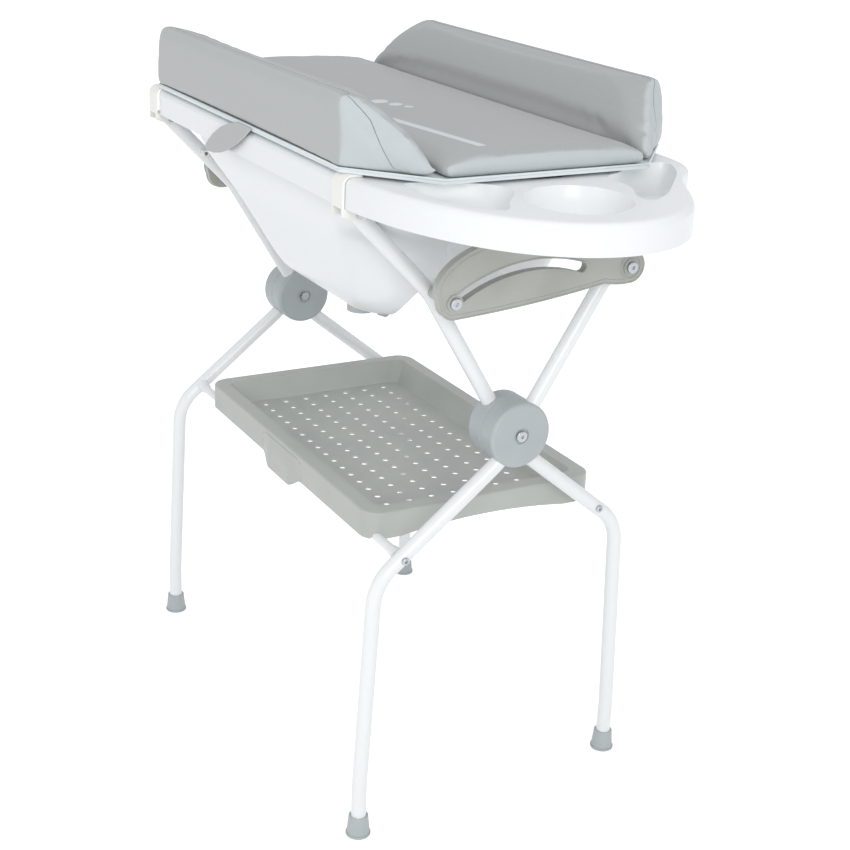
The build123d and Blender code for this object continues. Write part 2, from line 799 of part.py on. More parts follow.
def drain_pieces():
    """The waste under the floor, its strainer above, the plug in it and the cap on its spout."""
    floor_top = basin_floor_z + shell_wall
    low_z = basin_floor_z - seat_gap - drain_body_height
    spout_z = low_z + spout_radius + drain_wall
    spout = Plane(origin=(drain_x, drain_y, spout_z), x_dir=(0, 0, 1),
                  z_dir=(cos(radians(spout_turn)), sin(radians(spout_turn)), 0))
    neck = drain_neck_radius - drain_wall
    with BuildPart() as body:
        with BuildSketch(Plane.XY.offset(low_z)):
            with Locations((drain_x, drain_y)):
                Circle(drain_body_radius)
        extrude(amount=drain_body_height)
        with BuildSketch(spout):
            Circle(spout_radius)
        extrude(amount=spout_reach)
        with BuildSketch(Plane.XY.offset(low_z + drain_wall)):
            with Locations((drain_x, drain_y)):
                Circle(drain_neck_radius + fixed_gap)
        extrude(amount=drain_body_height, mode=Mode.SUBTRACT)
        with BuildSketch(spout):
            Circle(spout_bore)
        extrude(amount=spout_reach, mode=Mode.SUBTRACT)
    write(body, "drain_body")

    flange_z = floor_top + seat_gap
    with BuildPart() as strainer:
        with BuildSketch(Plane.XY.offset(flange_z)):
            with Locations((drain_x, drain_y)):
                Circle(drain_flange_radius)
        extrude(amount=drain_flange_thick)
        with BuildSketch(Plane.XY.offset(flange_z)):
            with Locations((drain_x, drain_y)):
                Circle(drain_neck_radius)
        extrude(amount=-shell_wall - 2 * seat_gap - drain_body_height / 2)
        with BuildSketch(Plane.XY.offset(flange_z + drain_flange_thick)):
            with Locations((drain_x, drain_y)):
                Circle(neck)
        extrude(amount=-2 * drain_body_height, mode=Mode.SUBTRACT)
    write(strainer, "drain_strainer")

    plug_z = flange_z + drain_flange_thick - plug_height
    with BuildPart() as plug:
        with BuildSketch(Plane.XY.offset(plug_z)):
            with Locations((drain_x, drain_y)):
                Circle(plug_radius)
        extrude(amount=plug_height)
        with BuildSketch(Plane.XY.offset(plug_z + plug_height + seat_gap)):
            with Locations((drain_x, drain_y)):
                Circle(neck + drain_wall)
        extrude(amount=drain_flange_thick)
        with Locations(Location((drain_x, drain_y, plug_z + plug_height + plug_ring_radius), (90, 0, 0))):
            Torus(plug_ring_radius, plug_ring_wire)
    write(plug, "drain_plug")

    with BuildPart() as cap:
        with BuildSketch(spout.offset(spout_reach - cap_length + cap_wall)):
            Circle(cap_radius)
        extrude(amount=cap_length)
        rims = cap.edges().filter_by(GeomType.CIRCLE).sort_by(Axis(spout.origin, spout.z_dir))
        fillet(rims[-1], head_round)
        with BuildSketch(spout.offset(spout_reach + seat_gap)):
            Circle(spout_radius + running_gap)
        extrude(amount=-cap_length, mode=Mode.SUBTRACT)
    write(cap, "drain_cap")


drain_pieces()


# Mat

mat_far_x = mat_near_x - mat_length
pad_z = board_z + board_thick


def mat_outline(side_half):
    """Corners of the mat with its four corners cut off at the creases."""
    return [(mat_near_x, crease_half), (mat_near_x - near_corner_cut, side_half),
            (mat_far_x + far_corner_cut, side_half), (mat_far_x, crease_half),
            (mat_far_x, -crease_half), (mat_far_x + far_corner_cut, -side_half),
            (mat_near_x - near_corner_cut, -side_half), (mat_near_x, -crease_half)]


with BuildPart() as mat_board:
    with BuildSketch(Plane.XY.offset(board_z)):
        with BuildLine():
            Polyline(*mat_outline(half_width), close=True)
        make_face()
    extrude(amount=board_thick)
    fillet(mat_board.edges().filter_by(Axis.Z), bolster_round)
write(mat_board, "mat_board")

with BuildPart() as mat_pad:
    with BuildSketch(Plane(origin=(mat_far_x, 0, pad_z), x_dir=(0, 1, 0), z_dir=(1, 0, 0))):
        with BuildLine():
            side = crease_half - seat_gap
            crown = ThreePointArc((side, pad_edge_height), (0, pad_crown), (-side, pad_edge_height))
            Polyline(crown @ 1, (-side, 0), (side, 0), crown @ 0)
        make_face()
    extrude(amount=mat_length)
    fillet(mat_pad.edges().filter_by(GeomType.CIRCLE), pad_edge_round)
write(mat_pad, "mat_pad")


def bolster(side, name):
    """A raised side of the mat: a wedge with a bulging inner face and slanted ends."""
    with BuildPart() as wedge:
        for share, bulge in ((0.0, 0.0), (0.5, 1.0), (1.0, 0.0)):
            inner = crease_half + (half_width - ridge_width - crease_half) * share
            inner -= bolster_bulge * bulge
            far_cut = mat_far_x + far_corner_cut * share - bolster_bulge * bulge
            near_cut = mat_near_x - near_corner_cut * share + bolster_bulge * bulge
            corners = [(mat_far_x + far_corner_cut, side * half_width), (far_cut, side * inner),
                       (near_cut, side * inner), (mat_near_x - near_corner_cut, side * half_width)]
            with BuildSketch(Plane.XY.offset(pad_z + bolster_height * share)):
                with BuildLine():
                    Polyline(*corners, close=True)
                make_face()
        loft()
        fillet(wedge.edges().group_by(Axis.Z)[-1], bolster_round)
    write(wedge, name)


bolster(-1, "mat_bolster_left")
bolster(1, "mat_bolster_right")


# Strap that hangs from the mat over the skirt
strap_top_shares = (0.375, 0.421)
strap_low_shares = (0.262, 0.368)
strap_low_z = 826.0
strap_slant_share = 0.75
strap_tip_lean = mat_hinge_y + knuckle_radius - half_width - seat_gap - strap_thick
with BuildPart() as mat_strap:
    skirt_side = -half_width - seat_gap
    lean = atan2(strap_tip_lean, strap_top_z - strap_low_z)
    hang = Plane(origin=(tub_far_x, skirt_side, strap_top_z), x_dir=(1, 0, 0),
                 z_dir=(0, -cos(lean), sin(lean)))
    drop = (strap_top_z - strap_low_z) / cos(lean)
    with BuildSketch(hang):
        with BuildLine():
            Polyline((strap_top_shares[0] * tub_length, 0), (strap_top_shares[1] * tub_length, 0),
                     (strap_low_shares[1] * tub_length, -drop * strap_slant_share),
                     (strap_low_shares[0] * tub_length, -drop), close=True)
        make_face()
    extrude(amount=strap_thick)
write(mat_strap, "mat_strap")


# Hinges of the mat on the +Y side of the rim

def mat_hinges():
    """Brackets on the rim, leaves under the board and a pin through both at each hinge."""
    middle_x = (mat_near_x + mat_far_x) / 2
    brackets = []
    leaves = []
    pins = []
    third = mat_hinge_width / 3
    for end in ends:
        x = middle_x + end * mat_hinge_spread
        face = half_width + seat_gap
        side = Plane(origin=(x, 0, 0), x_dir=(0, 1, 0), z_dir=(1, 0, 0))
        with BuildPart() as bracket:
            with BuildSketch(side):
                with Locations(((face + clip_wall / 2), (skirt_z + deck_z - rim_round) / 2)):
                    Rectangle(clip_wall, deck_z - rim_round - skirt_z)
                with Locations((mat_hinge_y, mat_hinge_z)):
                    Circle(knuckle_radius)
                with BuildLine():
                    Polyline((face, mat_hinge_z - 2 * knuckle_radius),
                             (mat_hinge_y, mat_hinge_z - knuckle_radius),
                             (mat_hinge_y, mat_hinge_z), (face, mat_hinge_z - knuckle_radius), close=True)
                make_face()
            extrude(amount=mat_hinge_width / 2, both=True)
            with Locations((x, mat_hinge_y, mat_hinge_z)):
                Box(third + 2 * seat_gap, 3 * knuckle_radius, 3 * knuckle_radius, mode=Mode.SUBTRACT)
            cross_rod(x - mat_hinge_width, x + mat_hinge_width, mat_hinge_y, mat_hinge_z,
                      hinge_pin_radius + fixed_gap, mode=Mode.SUBTRACT)
        brackets.append(bracket.part)
        with BuildPart() as leaf:
            with BuildSketch(side):
                with Locations((mat_hinge_y, mat_hinge_z)):
                    Circle(knuckle_radius)
                with BuildLine():
                    Polyline((mat_hinge_y, mat_hinge_z), (mat_hinge_y + knuckle_radius, mat_hinge_z),
                             (mat_hinge_y - seat_gap, pad_z), (face - seat_gap, pad_z),
                             (face - seat_gap, board_z), (mat_hinge_y - knuckle_radius, board_z), close=True)
                make_face()
            extrude(amount=third / 2, both=True)
            cross_rod(x - mat_hinge_width, x + mat_hinge_width, mat_hinge_y, mat_hinge_z,
                      hinge_pin_radius + running_gap, mode=Mode.SUBTRACT)
        leaves.append(leaf.part)
        with BuildPart() as pin:
            cross_rod(x - mat_hinge_width / 2, x + mat_hinge_width / 2, mat_hinge_y, mat_hinge_z,
                      hinge_pin_radius)
        pins.append(pin.part)
    write_group(brackets, "mat_hinge_brackets")
    write_group(leaves, "mat_hinge_leaves")
    write_group(pins, "mat_hinge_pins")


mat_hinges()


# Storage tray

tray_x = frame_x + tray_shift
tray_under_z = tray_floor_z - tray_wall
tray_skirt_z = tray_rim_z - tray_skirt_drop
left_bar_y = hub_y - crossbar_half
right_bar_y = hub_y + crossbar_half


def tray_bowl(skin, top_z):
    """The sunk middle of the tray: its inside, or its outside when it has a skin."""
    with BuildPart() as bowl:
        for z, draw_in in ((tray_floor_z - skin, tray_rim_width + tray_draft), (top_z, tray_rim_width)):
            with BuildSketch(Plane.XY.offset(z)):
                with Locations((tray_x, hub_y)):
                    RectangleRounded(2 * (tray_half_length - draw_in + skin),
                                     2 * (tray_half_width - draw_in + skin),
                                     tray_corner / 2)
        loft()
    return bowl.part


def storage_tray():
    """A perforated tray whose skirted rim hooks over both crossbars."""
    bowl = tray_bowl(tray_wall, tray_rim_z)
    inside = tray_bowl(0, tray_rim_z + cut_over)
    with BuildPart() as tray:
        with BuildSketch(Plane.XY.offset(tray_skirt_z)):
            with Locations((tray_x, hub_y)):
                RectangleRounded(2 * tray_half_length, 2 * tray_half_width, tray_corner)
        extrude(amount=tray_rim_z - tray_skirt_z)
        fillet(tray.faces().sort_by(Axis.Z)[-1].edges(), tray_edge_round)
        grip = Plane(origin=(tray_x, hub_y, 0), x_dir=(1, 0, 0), z_dir=(0, -1, 0))
        with BuildSketch(grip):
            with Locations((0, tray_rim_z - (tray_skirt_drop + grip_drop) / 2 - tray_edge_round)):
                RectangleRounded(2 * grip_half, tray_skirt_drop + grip_drop - 2 * tray_edge_round,
                                 tray_corner / 2)
        extrude(amount=tray_half_width + grip_bulge, both=True)
        with BuildSketch(Plane.XY.offset(tray_rim_z - tray_wall)):
            with Locations((tray_x, hub_y)):
                RectangleRounded(2 * (tray_half_length - tray_wall), 2 * (tray_half_width - tray_wall),
                                 tray_corner - tray_wall)
        extrude(amount=-2 * tray_skirt_drop, mode=Mode.SUBTRACT)
        with BuildSketch(grip):
            with Locations((0, tray_skirt_z)):
                Rectangle(2 * (grip_half - tray_wall), 2 * (tray_skirt_drop - tray_wall - 2 * tray_edge_round))
        extrude(amount=tray_half_width + grip_bulge - tray_wall, both=True, mode=Mode.SUBTRACT)
        arch_half = arch_half_share * tray_half_width
        with BuildSketch(Plane(origin=(tray_x, hub_y, 0), x_dir=(0, 1, 0), z_dir=(1, 0, 0))):
            with BuildLine():
                bend = ThreePointArc((-arch_half, tray_skirt_z - cut_over), (0, tray_skirt_z + arch_rise),
                                     (arch_half, tray_skirt_z - cut_over))
                Line(bend @ 1, bend @ 0)
            make_face()
        extrude(amount=2 * tray_half_length, both=True, mode=Mode.SUBTRACT)
        for y in (left_bar_y, right_bar_y):
            for end in (-1, 0, 1):
                with Locations((tray_x + end * saddle_spread, y, tray_rim_z - tray_wall / 2)):
                    Box(saddle_thick, tray_rim_width + tray_wall,
                        tray_rim_z - tray_wall / 2 - crossbar_z, align=(Align.CENTER, Align.CENTER, Align.MAX))
        add(bowl)
        add(inside, mode=Mode.SUBTRACT)
        cross_rod(tray_x - 2 * tray_half_length, tray_x + 2 * tray_half_length, left_bar_y, crossbar_z,
                  crossbar_radius + seat_gap, mode=Mode.SUBTRACT)
        for y in (left_bar_y, right_bar_y):
            with Locations((tray_x, y, crossbar_z)):
                Box(3 * tray_half_length, 2 * bar_notch_radius, 2 * tray_skirt_drop,
                    align=(Align.CENTER, Align.CENTER, Align.MAX), mode=Mode.SUBTRACT)
            cross_rod(tray_x - 2 * tray_half_length, tray_x + 2 * tray_half_length, y, crossbar_z,
                      crossbar_radius + seat_gap, mode=Mode.SUBTRACT)
        with BuildSketch(Plane.XY.offset(tray_under_z - cut_over)):
            with Locations((tray_x, hub_y)):
                with GridLocations(hole_pitch_x, hole_pitch_y, holes_x, holes_y):
                    Circle(hole_radius)
        extrude(amount=tray_rim_z - tray_under_z, mode=Mode.SUBTRACT)
    write(tray, "storage_tray")


storage_tray()
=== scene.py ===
import bmesh
import bpy
import math
from mathutils import Matrix, Vector
from mathutils.bvhtree import BVHTree
from mathutils.kdtree import KDTree


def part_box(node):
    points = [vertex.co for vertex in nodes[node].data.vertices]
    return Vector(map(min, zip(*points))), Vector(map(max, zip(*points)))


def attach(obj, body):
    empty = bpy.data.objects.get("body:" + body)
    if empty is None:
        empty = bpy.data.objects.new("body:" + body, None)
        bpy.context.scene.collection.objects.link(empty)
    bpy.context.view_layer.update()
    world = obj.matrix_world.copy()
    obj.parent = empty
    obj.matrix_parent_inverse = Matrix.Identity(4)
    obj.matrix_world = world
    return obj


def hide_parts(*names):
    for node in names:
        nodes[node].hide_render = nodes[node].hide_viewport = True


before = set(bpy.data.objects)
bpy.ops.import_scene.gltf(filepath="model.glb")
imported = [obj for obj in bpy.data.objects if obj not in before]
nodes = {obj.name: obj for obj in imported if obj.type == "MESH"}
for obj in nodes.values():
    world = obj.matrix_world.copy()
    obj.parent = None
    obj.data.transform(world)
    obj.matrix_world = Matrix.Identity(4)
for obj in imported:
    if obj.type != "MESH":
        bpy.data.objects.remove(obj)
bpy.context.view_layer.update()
scene = bpy.context.scene

# Studio: a seamless white sweep, soft light from above and from the front right, and a camera
# that stands to the near left of the table, a little above the mat.
# Painted board, matt, nothing fixed to it.


def linear(code):
    """A colour in linear values, from its sRGB hex value."""
    parts = [int(code[place:place + 2], 16) / 255 for place in (1, 3, 5)]
    return tuple(part / 12.92 if part <= 0.04045 else ((part + 0.055) / 1.055) ** 2.4 for part in parts) + (1.0,)


def add_node(material, kind, inputs, **settings):
    """Add a node to a material's tree, with its settings, its values and its links."""
    node = material.node_tree.nodes.new(kind)
    for name, value in settings.items():
        setattr(node, name, value)
    for name, value in inputs.items():
        if isinstance(value, bpy.types.NodeSocket):
            material.node_tree.links.new(value, node.inputs[name])
        else:
            node.inputs[name].default_value = value
    return node


def empty_tree(owner):
    """Clear the node tree of a material or world and give it back with the owner."""
    owner.use_nodes = True
    owner.node_tree.nodes.clear()
    return owner


scene.view_settings.view_transform = "Standard"
camera = bpy.data.objects.new("camera", bpy.data.cameras.new("camera"))
scene.collection.objects.link(camera)
camera_right = Vector((0.48001, 0.87634, 0.04033))
camera_up = Vector((-0.33735, 0.14196, 0.93061))
camera_back = Vector((0.80981, -0.46030, 0.36377))
turn = Matrix((camera_right, camera_up, camera_back)).transposed()
camera.matrix_world = Matrix.Translation((1.74869, -0.98287, 1.25044)) @ turn.to_4x4()
camera.data.sensor_width = 36.0
camera.data.lens = 36.0 * 1554.89 / 850
camera.data.clip_start = 0.05
scene.camera = camera

world = empty_tree(bpy.data.worlds.new("white_room"))
scene.world = world
room = add_node(world, "ShaderNodeBackground", {"Color": linear("#F4F6F8"), "Strength": 0.80})
white = add_node(world, "ShaderNodeBackground", {"Color": (1.0, 1.0, 1.0, 1.0), "Strength": 1.0})
ray = add_node(world, "ShaderNodeLightPath", {})
seen = add_node(world, "ShaderNodeMath", {0: ray.outputs["Is Camera Ray"], 1: ray.outputs["Is Transmission Ray"]},
                operation="MAXIMUM")
choice = add_node(world, "ShaderNodeMixShader", {0: seen.outputs[0], 1: room.outputs[0], 2: white.outputs[0]})
add_node(world, "ShaderNodeOutputWorld", {"Surface": choice.outputs[0]})

floor_mesh = bpy.data.meshes.new("floor")
floor_mesh.from_pydata([(-90, -90, 0), (90, -90, 0), (90, 90, 0), (-90, 90, 0)], [], [(0, 1, 2, 3)])
floor = bpy.data.objects.new("floor", floor_mesh)
scene.collection.objects.link(floor)
board_paint = empty_tree(bpy.data.materials.new("matt white board paint"))
paint = add_node(board_paint, "ShaderNodeBsdfDiffuse", {"Color": linear("#F2F2F2")})
glow = add_node(board_paint, "ShaderNodeEmission", {"Color": (1.0, 1.0, 1.0, 1.0), "Strength": 0.52})
path = add_node(board_paint, "ShaderNodeLightPath", {})
looked_at = add_node(board_paint, "ShaderNodeMath",
                     {0: path.outputs["Is Camera Ray"], 1: path.outputs["Is Glossy Ray"]}, operation="MAXIMUM")
lit = add_node(board_paint, "ShaderNodeAddShader", {0: paint.outputs[0], 1: glow.outputs[0]})
sweep = add_node(board_paint, "ShaderNodeMixShader", {0: looked_at.outputs[0], 1: paint.outputs[0], 2: lit.outputs[0]})
add_node(board_paint, "ShaderNodeOutputMaterial", {"Surface": sweep.outputs[0]})
floor_mesh.materials.append(board_paint)

for name, place, aim, size, power in (
        ("soft_box_above", (0.2, -0.3, 3.2), (-0.1, 0.0, 0.6), 2.6, 8.0),
        ("soft_box_front", (3.5, -1.2, 2.0), (0.0, 0.0, 0.7), 2.0, 46.0),
        ("soft_box_left", (0.6, -3.2, 1.0), (-0.1, 0.0, 0.6), 2.0, 9.0)):
    light = bpy.data.lights.new(name, "AREA")
    light.size = size
    light.energy = power
    lamp = bpy.data.objects.new(name, light)
    scene.collection.objects.link(lamp)
    lamp.location = place
    lamp.rotation_mode = "QUATERNION"
    lamp.rotation_quaternion = (Vector(aim) - Vector(place)).to_track_quat("-Z", "Y")

# Leg tubes and crossbars: mild steel tube, bent cold and powder coated white.
# The coat is glossy and even, with the faint ripple that baked powder has.


def coat_nodes(material, names, sharp_degrees=32.0):
    """Give CAD nodes one material, smooth their rounded faces and keep their sharper edges."""
    for name in names:
        mesh = nodes[name].data
        mesh.materials.clear()
        mesh.materials.append(material)
        for face in mesh.polygons:
            face.use_smooth = True
        mesh.set_sharp_from_angle(angle=math.radians(sharp_degrees))


def surface(material, colour, roughness, bump, **values):
    """End a material's tree in a shader with a colour, roughness and relief."""
    inputs = {"Base Color": colour, "Roughness": roughness, "Normal": bump}
    inputs.update({name.replace("_", " "): value for name, value in values.items()})
    shader = add_node(material, "ShaderNodeBsdfPrincipled", inputs)
    add_node(material, "ShaderNodeOutputMaterial", {"Surface": shader.outputs[0]})


powder_coat = empty_tree(bpy.data.materials.new("powder coated steel, white"))
where = add_node(powder_coat, "ShaderNodeTexCoord", {})
ripple_mm = 2.4
ripple = add_node(powder_coat, "ShaderNodeTexNoise",
                  {"Vector": where.outputs["Object"], "Scale": 1000 / ripple_mm, "Detail": 2.0})
ripple_bump = add_node(powder_coat, "ShaderNodeBump",
                       {"Height": ripple.outputs["Fac"], "Strength": 0.05, "Distance": 0.0004})
tint = add_node(powder_coat, "ShaderNodeMapRange", {"Value": ripple.outputs["Fac"], "To Min": 0.26, "To Max": 0.36})
surface(powder_coat, linear("#EBEDED"), tint.outputs[0], ripple_bump.outputs[0], Coat_Weight=0.35,
        Coat_Roughness=0.12)
coat_nodes(powder_coat, [name for name in nodes if "_tube_" in name or name.endswith("_crossbar")])

# Feet, hub cups and storage tray: grey polypropylene, injection moulded in eroded steel tools.
# That leaves a fine matt grain, slightly paler on edges, and soft reflections.


def moulded(name, colour, pale, roughness, grain_mm, relief):
    """A moulded plastic with a fine grain and faint clouds in its colour.

    The real grain is about 0.3 mm; it is drawn about 1 mm wide so that it shows.
    """
    plastic = empty_tree(bpy.data.materials.new(name))
    spot = add_node(plastic, "ShaderNodeTexCoord", {})
    grain = add_node(plastic, "ShaderNodeTexNoise",
                     {"Vector": spot.outputs["Object"], "Scale": 1000 / grain_mm, "Detail": 3.0, "Roughness": 0.6})
    cloud = add_node(plastic, "ShaderNodeTexNoise",
                     {"Vector": spot.outputs["Object"], "Scale": 1000 / (grain_mm * 60), "Detail": 2.0})
    ramp = add_node(plastic, "ShaderNodeValToRGB", {"Fac": cloud.outputs["Fac"]})
    ramp.color_ramp.elements[0].color = linear(colour)
    ramp.color_ramp.elements[0].position = 0.35
    ramp.color_ramp.elements[1].color = linear(pale)
    ramp.color_ramp.elements[1].position = 0.65
    skin = add_node(plastic, "ShaderNodeBump",
                    {"Height": grain.outputs["Fac"], "Strength": relief, "Distance": 0.0003})
    sheen = add_node(plastic, "ShaderNodeMapRange",
                     {"Value": grain.outputs["Fac"], "To Min": roughness - 0.06, "To Max": roughness + 0.06})
    surface(plastic, ramp.outputs[0], sheen.outputs[0], skin.outputs[0])
    return plastic


grey_polypropylene = moulded("moulded polypropylene, grey", "#ADB3B5", "#B3B9BB", 0.42, 1.1, 0.12)
grey_names = [name for name in nodes if name.startswith("foot_") or name.startswith("hub_outer") or
              name.startswith("hub_inner")] + ["drain_body", "drain_cap", "drain_plug"]
coat_nodes(grey_polypropylene, grey_names)
tray_polypropylene = moulded("moulded polypropylene, tray grey", "#B2B5B1", "#B8BBB6", 0.38, 1.4, 0.10)
coat_nodes(tray_polypropylene, ["storage_tray"])

# Side grips of the tray: two hollow tongues moulded in one with the skirt. They swell softly out
# of it and hang a little below it.
low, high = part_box("storage_tray")
centre = (low + high) / 2
grip_bulge = 0.005
grip_half = 0.066
grip_hang = 0.015
grip_wall = 0.0015
side_taper = 0.034
top_taper = 0.030
tolerance = 0.0002
longest_edge = 0.004
skirt_half = (high.y - low.y) / 2 - grip_bulge
skirt_foot = low.z + grip_hang
work = bmesh.new()
work.from_mesh(nodes["storage_tray"].data)


def on_grip(vertex):
    """Whether a corner of the tray's mesh lies on one of the two grips."""
    return (abs(vertex.co.x - centre.x) < grip_half + tolerance and
            abs(vertex.co.y - centre.y) > skirt_half + tolerance)


bmesh.ops.remove_doubles(work, verts=[vertex for vertex in work.verts if on_grip(vertex)], dist=0.00001)
for pass_number in range(6):
    long_edges = [edge for edge in work.edges
                  if all(on_grip(vertex) for vertex in edge.verts) and edge.calc_length() > longest_edge]
    bmesh.ops.subdivide_edges(work, edges=long_edges, cuts=1)
    bmesh.ops.triangulate(work, faces=[face for face in work.faces if len(face.verts) > 3])


def eased(part):
    """A smooth step from 0 to 1."""
    part = min(max(part, 0.0), 1.0)
    return part * part * (3 - 2 * part)


for vertex in work.verts:
    x, y, z = vertex.co - centre
    if abs(x) > grip_half + tolerance:
        continue
    swell = eased((grip_half - abs(x)) / side_taper)
    if abs(y) > skirt_half + tolerance:
        reach = grip_bulge * swell * eased((high.z - vertex.co.z) / top_taper)
        outside = abs(y) - skirt_half > 0.8 * grip_bulge
        reach += tolerance / 2 if outside else -grip_wall
        vertex.co.y = centre.y + math.copysign(skirt_half + reach, y)
    if abs(y) > skirt_half - 0.004 and vertex.co.z < skirt_foot:
        vertex.co.z = skirt_foot - (skirt_foot - vertex.co.z) * swell
tray_mesh = nodes["storage_tray"].data.copy()
work.to_mesh(tray_mesh)
work.free()
for face in tray_mesh.polygons:
    face.use_smooth = True
tray_mesh.set_sharp_from_angle(angle=math.radians(32.0))
tray = bpy.data.objects.new("storage_tray_moulded", tray_mesh)
scene.collection.objects.link(tray)
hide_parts("storage_tray")
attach(tray, "tray")

# Screws, nuts and bolts: steel, cold headed and zinc plated, pressed or screwed home.
# Plating is bright with a slight mottled haze.
zinc_plate = empty_tree(bpy.data.materials.new("zinc plated steel"))
spot = add_node(zinc_plate, "ShaderNodeTexCoord", {})
haze_mm = 1.6
haze = add_node(zinc_plate, "ShaderNodeTexNoise",
                {"Vector": spot.outputs["Object"], "Scale": 1000 / haze_mm, "Detail": 3.0})
haze_rough = add_node(zinc_plate, "ShaderNodeMapRange", {"Value": haze.outputs["Fac"], "To Min": 0.22, "To Max": 0.42})
haze_bump = add_node(zinc_plate, "ShaderNodeBump",
                     {"Height": haze.outputs["Fac"], "Strength": 0.05, "Distance": 0.0002})
surface(zinc_plate, linear("#B9BCC0"), haze_rough.outputs[0], haze_bump.outputs[0], Metallic=1.0)
zinc_names = [name for name in nodes if name.endswith(("bolts", "nuts", "screws"))]
coat_nodes(zinc_plate, zinc_names + ["clip_pins", "mat_hinge_pins", "drain_strainer"])

# Crossbar bushes, rim clips, supports, pegs and mat hinges: cream polyamide, moulded; the crossbar bushes are drawn in
# the white powder coat.
# The polyamide is a little warmer than the white tub and less glossy.
cream_polyamide = moulded("moulded polyamide, cream", "#F2F1EC", "#F6F5F1", 0.36, 0.9, 0.08)
cream_names = ["rim_clip_near", "rim_clip_far", "tub_support_near", "tub_support_far", "locating_pegs",
               "mat_hinge_brackets", "mat_hinge_leaves"]
coat_nodes(cream_polyamide, cream_names)
coat_nodes(powder_coat, ["outer_crossbar_bushes", "inner_crossbar_bushes"])

# Stays with their washers, spacers and slot bushes: warm light grey polyamide, moulded.
# A raised bead runs round the plate's outer face, its slot and its bolt head, with a finer one inside.
stay_polyamide = moulded("moulded polyamide, warm light grey", "#AAACA5", "#B1B3AC", 0.34, 0.9, 0.08)
coat_nodes(stay_polyamide, ["stay_near", "stay_far"])
coat_nodes(stay_polyamide, [name for name in nodes
                            if name.endswith(("washers", "spacers", "sleeves", "slot_bushes"))])


def face_loops(name, plane_x):
    """Closed rows of corners round a flat face of a CAD node at one X."""
    mesh = nodes[name].data
    work = bmesh.new()
    work.from_mesh(mesh)
    bmesh.ops.remove_doubles(work, verts=work.verts, dist=0.00001)
    flat = {face for face in work.faces if all(abs(v.co.x - plane_x) < 0.00002 for v in face.verts)}
    rims = {edge for edge in work.edges if sum(face in flat for face in edge.link_faces) == 1}
    loops = []
    while rims:
        edge = rims.pop()
        first, current = edge.verts
        row = [first.co.copy(), current.co.copy()]
        while True:
            following = [e for e in current.link_edges if e in rims]
            if not following:
                break
            edge = following[0]
            rims.discard(edge)
            current = edge.other_vert(current)
            row.append(current.co.copy())
        loops.append(row[:-1] if (row[0] - row[-1]).length < 0.0001 else row)
    work.free()
    return loops


def bead(name, rows, radius, material, cyclic=True):
    """A thin round bead along rows of points, as one curve piece."""
    curve = bpy.data.curves.new(name, "CURVE")
    curve.dimensions = "3D"
    curve.bevel_depth = radius
    curve.bevel_resolution = 2
    for row in rows:
        spline = curve.splines.new("POLY")
        spline.points.add(len(row) - 1)
        for point, place in zip(spline.points, row):
            point.co = (*place, 1.0)
        spline.use_cyclic_u = cyclic
    curve.materials.append(material)
    piece = bpy.data.objects.new(name, curve)
    scene.collection.objects.link(piece)
    return piece


bead_radius = 0.0011
groove_radius = 0.0006
groove_inset = 0.0050
ring_radius = 0.0150


def resample(row, spacing):
    """Even points round a closed row."""
    points = []
    for start, stop in zip(row, row[1:] + row[:1]):
        steps = max(1, round((stop - start).length / spacing))
        points += [start.lerp(stop, step / steps) for step in range(steps)]
    return points


for end, side in (("near", 1), ("far", -1)):
    low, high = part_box(f"stay_{end}")
    outer_face = high.x if side > 0 else low.x
    rows = [resample(row, 0.002) for row in face_loops(f"stay_{end}", outer_face)]
    rows = [row for row in rows if len(row) > 30]
    outline = max(rows, key=len)
    middle = sum(outline, Vector()) / len(outline)
    walls = [place for row in rows for place in row]
    grooves = []
    track = []
    for before, place, after in zip(outline[-1:] + outline[:-1], outline, outline[1:] + outline[:1]):
        along = (after - before).normalized()
        across = Vector((0.0, -along.z, along.y))
        for inwards in (across, -across):
            spot = place + groove_inset * inwards
            crossings = sum((a.z > spot.z) != (b.z > spot.z) and
                            spot.y < a.y + (spot.z - a.z) / (b.z - a.z) * (b.y - a.y)
                            for a, b in zip(outline, outline[1:] + outline[:1]))
            clear = min((spot - wall).length for wall in walls) > 0.93 * groove_inset
            if crossings % 2 and clear:
                track.append(spot)
                break
        else:
            grooves.append(track)
            track = []
    grooves = [track for track in grooves + [track] if len(track) > 4]
    bolt_low, bolt_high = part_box("stay_pivot_bolts")
    bolt_axis = (bolt_low + bolt_high) / 2
    turns = [step * math.tau / 48 for step in range(48)]
    rows.append([Vector((outer_face, bolt_axis.y + ring_radius * math.cos(turn),
                         bolt_axis.z + ring_radius * math.sin(turn)))
                 for turn in turns])
    ribs = bead(f"stay_bead_{end}", rows, bead_radius, stay_polyamide)
    lines = bead(f"stay_inner_bead_{end}", grooves, groove_radius, stay_polyamide, cyclic=False)
    for piece in (ribs, lines):
        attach(piece, f"{end}_stay")

